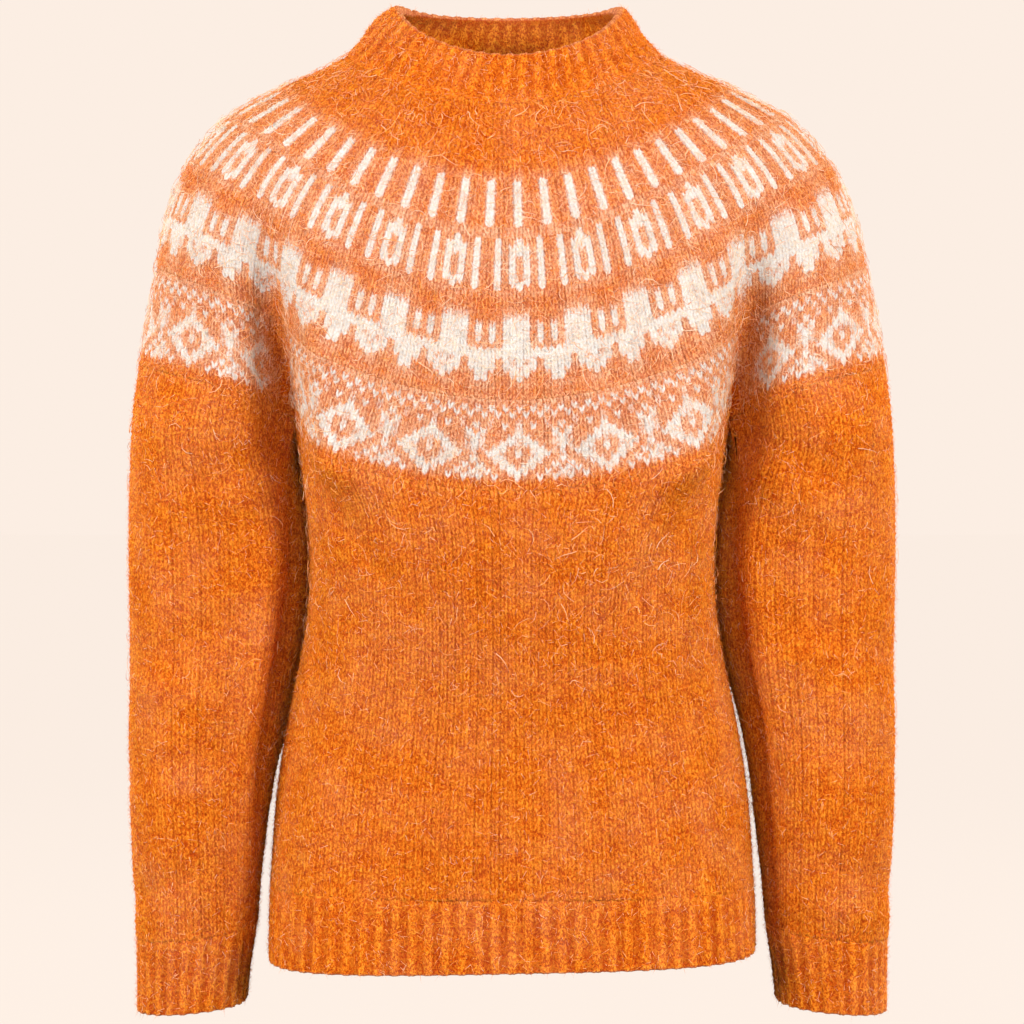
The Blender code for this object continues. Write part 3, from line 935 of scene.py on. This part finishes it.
def scattered(surface, count, lowest=1.0):
    """Places of fibres, evenly over a surface, with the normals and sideways directions there."""
    rounds = surface.rounds()
    marks = np.concatenate([[0], np.cumsum(rounds) / rounds.sum()])
    shares = np.interp(random.random(count), marks, np.linspace(0, 1, len(marks))) * lowest
    fractions = random.random(count)
    roots, normals, downs = surface.at(shares, fractions)
    turn = random.uniform(0, 2 * np.pi, (count, 1))
    sides = downs * np.cos(turn) + np.cross(normals, downs) * np.sin(turn)
    return (roots, shares, fractions), normals, sides


def charted(charts, places, column):
    """The chart's cream (1) or haze (2) as it shows at places on the yoke, and 0 on any other piece."""
    roots, shares, fractions = places
    if not charts:
        return np.zeros(len(roots))
    fractions = fractions - np.interp(shares, (0, 1), PATTERN_TURN)
    found = []
    for share, fraction in zip(shares, fractions):
        row = charts[min(int(share * len(charts)), len(charts) - 1)]
        found.append(row[column][int(round(fraction * row[0])) % row[0]])
    # the fibres carry the same painted shade of the recess beside the arms
    return np.array(found) * pattern_under_painted_shade(roots, shares)


def widths(normals, sides):
    """The way each fibre is wide: across it, turned at random."""
    turn = random.uniform(0, np.pi, (len(normals), 1))
    return np.cross(normals, sides) * np.cos(turn) + normals * np.sin(turn)


def make_fibres(name, surface, count, charts=None):
    """Short fibres all over a surface. On the yoke they take the colour of the stitch they grow from."""
    places, normals, sides = scattered(surface, count)
    lengths = random.uniform(*FIBRE_LENGTHS, (count, 1))
    lifts = random.uniform(*FIBRE_LIFTS, (count, 1)) ** 1.2
    tips = places[0] + (normals * lifts + sides * np.sqrt(1 - lifts**2)) * lengths
    lines, creams = [places[0], tips], charted(charts, places, 1)
    return placed(ribbons(name, lines, widths(normals, sides), FIBRE_WIDTH, creams), FIBRES)


def make_hairs(name, surface, count, lowest=1.0, charts=None):
    """Long loose hairs that lie curled on the wool, paler where there is cream yarn near."""
    places, normals, sides = scattered(surface, count, lowest)
    third = np.cross(normals, sides)
    shape = (count, 1)
    lengths = random.uniform(*HAIR_LENGTHS, shape)
    curl = random.normal(0, HAIR_CURL, shape)
    rise = random.uniform(*HAIR_RISES, shape)
    lines = []
    place = places[0]
    heading = random.uniform(0, 2 * np.pi, shape)
    for i in range(HAIR_PARTS + 1):
        height = HAIR_LIFT + rise * math.sin(math.pi * (0.15 + 0.75 * i / HAIR_PARTS))
        lines.append(place + normals * height)
        step = sides * np.cos(heading) + third * np.sin(heading)
        place = place + step * lengths / HAIR_PARTS
        heading = heading + curl / HAIR_PARTS
        curl = curl + random.normal(0, HAIR_TWIST, shape)
    flat = widths(normals, sides)
    creams = random.random(count) * (HAIR_PALE + HAIR_PALER * charted(charts, places, 2))
    return placed(ribbons(name, lines, flat, HAIR_WIDTH, creams), FIBRES)


# ---- the jumper

# Soft folds. A row gives the two ends of each, in hundredths of the way round and of the way down, then its
# half width and its height in millimetres, with troughs below 0.
FOLD_UNITS = (0.01, 0.01, 0.01, 0.01, 0.001, 0.001)
NECK_FOLDS = (
    (73.5, -10, 74.5, 75, 30, 4.2),
    (25.5, -10, 25, 50, 20, 1.5),
)
YOKE_FOLDS = (
    (9, 95, 15.5, 55, 14, -1.6),
    (90.5, 96, 85, 52, 15, -1.8),
    (21.5, 92, 19, 50, 18, 1.6),
    (78, 93, 81.2, 55, 16, 1.4),
    (39.5, 94, 34.5, 50, 16, -1.8),
    (61, 96, 66, 56, 14, -1.5),
    (48, 70, 54, 95, 20, -1.2),
)
BODY_FOLDS = (
    (17.5, 4, 8.5, 36, 13, -2.6),
    (19, 16, 12, 55, 16, 2),
    (82.8, 5, 91.2, 30, 12, -2.4),
    (81.2, 20, 88, 62, 17, 1.8),
    (6, 98, 8.5, 62, 14, 2.2),
    (13.5, 100, 11.5, 70, 12, -2.4),
    (96, 100, 93.5, 74, 16, 1.8),
    (87.5, 99, 90.5, 58, 13, -2.6),
    (1, 55, 3.5, 86, 20, -1.4),
    (79.2, 62, 79, 93, 9, -5),
    (32.5, 5, 41.5, 33, 14, -2.8),
    (31, 20, 37, 60, 18, 2),
    (67.5, 6, 59, 40, 13, -2.6),
    (69, 30, 64, 72, 16, 1.8),
    (48, 30, 52, 75, 24, -2),
    (43, 100, 44.5, 66, 14, 2.2),
    (56, 100, 54.5, 72, 13, -2.2),
)
SLEEVE_FOLDS = (
    (43, 6, 42.5, 20, 16, 5),
    (45.5, 18, 45.5, 50, 14, 4.5),
    (46, 36, 46.5, 54, 14, 3.5),
    (66, 5, 65.2, 66, 9, 3),
    (58.5, 10, 58, 66, 15, -9.5),
    (58, 55, 57.2, 98, 13, -5.5),
    (50, 78, 50.5, 105, 22, -3),
    (56, 3, 82, 17, 12, -2.6),
    (64, 13, 86, 27, 14, 2),
    (70, 42, 93, 50, 13, -2.2),
    (62, 52, 84, 46, 12, 2),
    (66, 62, 95, 70, 14, -2),
    (10, 44, 33, 52, 14, -2.2),
    (16, 56, 40, 50, 13, 2),
    (6, 78, 29, 85, 13, -2),
    (72, 86, 96, 92, 11, -2),
    (64, 94, 90, 97, 9, 1.6),
    (44, 6, 24, 22, 13, -2.6),
    (38, 18, 18, 34, 16, 1.8),
    (13, 93, 36, 90, 10, -1.8),
)
LEFT_SLEEVE_FOLDS = (
    (57, 6, 57.5, 20, 16, 5),
    (54.5, 18, 54.5, 50, 14, 4.5),
    (55, 36, 55, 68, 14, 6),
    (34.5, 5, 35.2, 72, 9, 3),
    (41.5, 10, 42, 72, 15, -9.5),
    (42.8, 62, 43.5, 92, 12, -2.5),
    (50, 76, 49.5, 105, 22, -4.5),
    (44, 4, 20, 20, 13, -2.6),
    (38, 15, 15, 24, 13, 1.8),
    (33, 40, 9, 53, 14, -2.2),
    (30, 58, 7, 55, 12, 2),
    (34, 66, 4, 72, 13, -2),
    (90, 47, 68, 54, 13, -2.2),
    (83, 60, 61, 55, 14, 2),
    (94, 80, 72, 84, 12, -2),
    (28, 88, 5, 94, 10, -1.8),
    (57, 5, 78, 24, 14, -2.6),
    (64, 20, 83, 33, 15, 1.8),
    (88, 94, 65, 90, 10, -1.8),
)
CUFF_FOLDS = ((50, -60, 50, 130, 22, -2.5),)
LEFT_CUFF_FOLDS = ((50, -60, 50, 130, 22, -3.7),)

neck = yoke_surface(NECKBAND)
yoke = yoke_surface(YOKE)
body, hem = body_surfaces()
sleeve, cuff = sleeve_surfaces()
left_sleeve, left_cuff = mirrored(sleeve), mirrored(cuff)
neck.crease(NECK_FOLDS)
for side in (0.25, 0.75):
    neck.sink(side, width=0.016, depth=0.0035)
yoke.crease(YOKE_FOLDS)
body.crease(BODY_FOLDS)
sleeve.crease(SLEEVE_FOLDS)
left_sleeve.crease(LEFT_SLEEVE_FOLDS)
cuff.crease(CUFF_FOLDS)
left_cuff.crease(LEFT_CUFF_FOLDS)


def finish(piece, node, surface, fibres, hairs=0, lowest=1.0, charts=None):
    """Puts a piece of knitting in the place of its CAD node, with this many fibres and hairs on it.
    """
    others = []
    if fibres:
        others.append(make_fibres(f"{node}_fibres", surface, fibres, charts))
    if hairs:
        others.append(make_hairs(f"{node}_hairs", surface, hairs, lowest, charts))
    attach(piece, "root")
    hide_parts(node)
    for other in others:
        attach(other, "root")


(yoke_upper, yoke_lower), charts = make_yoke(yoke)
last_haze = float(charts[-1][2].mean())
finish(yoke_upper, "yoke", yoke, 45000, 14000, charts=charts)
finish(yoke_lower, "yoke", yoke, 0)
knit = make_plain("body_knit", body, BODY_ROWS, BODY_STITCHES, (0.0003, 0.0003), last_haze)
finish(knit, "body", body, 42000, 1500, lowest=0.5)
knit = make_rib("hem_rib_knit", hem, HEM_ROWS, HEM_STITCHES)
finish(knit, "hem_rib", hem, 9000)
for side, surface, end in (("right", sleeve, cuff), ("left", left_sleeve, left_cuff)):
    knit = make_plain(
        f"sleeve_{side}_knit", surface, SLEEVE_ROWS, SLEEVE_STITCHES, (0.00005, 0.0003), last_haze,
        (SLEEVE_STITCHES, CUFF_STITCHES),
    )
    finish(knit, f"sleeve_{side}", surface, 23000, 300, lowest=0.6)
    knit = make_rib(f"cuff_{side}_knit", end, CUFF_ROWS, CUFF_STITCHES)
    finish(knit, f"cuff_{side}", end, 3000)
finish(make_neckband(neck), "neckband", neck, 8000)


# ---- the studio

BACKDROP = (0.973, 0.855, 0.768, 1)
FLOOR = (0.02, 0.018, 0.016, 1)
FLOOR_GLOW = 0.985
FLOOR_REACH, FLOOR_Z = 12, -1
AMBIENT, AMBIENT_STRENGTH = (1.0, 0.70, 0.46, 1), 0.27
CAMERA_PLACE = (0, -2.498, -0.2004)
CAMERA_TILT = 2.793  # degrees down
SENSOR, LENS = 36, 125.18  # mm


def make_floor():
    """A floor that glows in the backdrop's colour, and whose glow falls on nothing else."""
    mesh = bpy.data.meshes.new("floor")
    ways = ((-1, -1), (1, -1), (1, 1), (-1, 1))
    corners = [(x * FLOOR_REACH, y * FLOOR_REACH, FLOOR_Z) for x, y in ways]
    mesh.from_pydata(corners, [], [(0, 1, 2, 3)])
    nodes = Nodes("pale_floor")
    put(nodes.shader, {"Base Color": FLOOR, "Roughness": 0.9, "Specular IOR Level": 0.0})
    put(nodes.shader, {"Emission Color": BACKDROP, "Emission Strength": FLOOR_GLOW})
    floor = placed(mesh, nodes.material)
    lit = bpy.data.collections.new("lit_by_the_floor")
    lit.objects.link(floor)
    floor.light_linking.receiver_collection = lit


def make_world():
    """A pale backdrop, which lights the jumper less than it shows."""
    world = bpy.data.worlds.new("studio")
    bpy.context.scene.world = world
    world.use_nodes = True
    nodes = world.node_tree.nodes
    backdrop = nodes["Background"]
    put(backdrop, {"Color": BACKDROP})
    ambient = nodes.new("ShaderNodeBackground")
    put(ambient, {"Color": AMBIENT, "Strength": AMBIENT_STRENGTH})
    shown = nodes.new("ShaderNodeLightPath").outputs["Is Camera Ray"]
    mix = nodes.new("ShaderNodeMixShader")
    put(mix, {"Fac": shown, 1: ambient.outputs[0], 2: backdrop.outputs[0]})
    put(nodes["World Output"], {"Surface": mix.outputs[0]})


def make_light(name, place, target, size, power):
    """A round softbox that faces the target."""
    data = bpy.data.lights.new(name, "AREA")
    data.shape = "DISK"
    data.size = size
    data.energy = power
    light = linked(name, data)
    light.location = place
    light.rotation_euler = (Vector(target) - Vector(place)).to_track_quat("-Z", "Y").to_euler()


def make_camera():
    data = bpy.data.cameras.new("camera")
    data.sensor_width = SENSOR
    data.lens = LENS
    camera = linked("camera", data)
    camera.location = CAMERA_PLACE
    camera.rotation_euler = (math.radians(90 - CAMERA_TILT), 0, 0)
    bpy.context.scene.camera = camera


make_floor()
make_world()
for side, way in (("left", -1), ("right", 1)):
    make_light(f"{side} front", (way * 2.3, -2.1, 0.45), (0, 0, -0.4), 0.9, 73)
    make_light(side, (way * 2.4, -0.4, 0.0), (0, 0, -0.35), 1.2, 20)
    make_light(f"{side} back", (way * 2.0, 2.4, 0.6), (0, 0, -0.3), 1.2, 82)
make_light("middle", (0, -3.1, 0.2), (0, 0, -0.4), 1.0, 28)
make_light("top", (0, -1.3, 2.1), (0, 0.05, 0), 0.9, 9)
make_camera()
bpy.context.scene.view_settings.view_transform = "Standard"
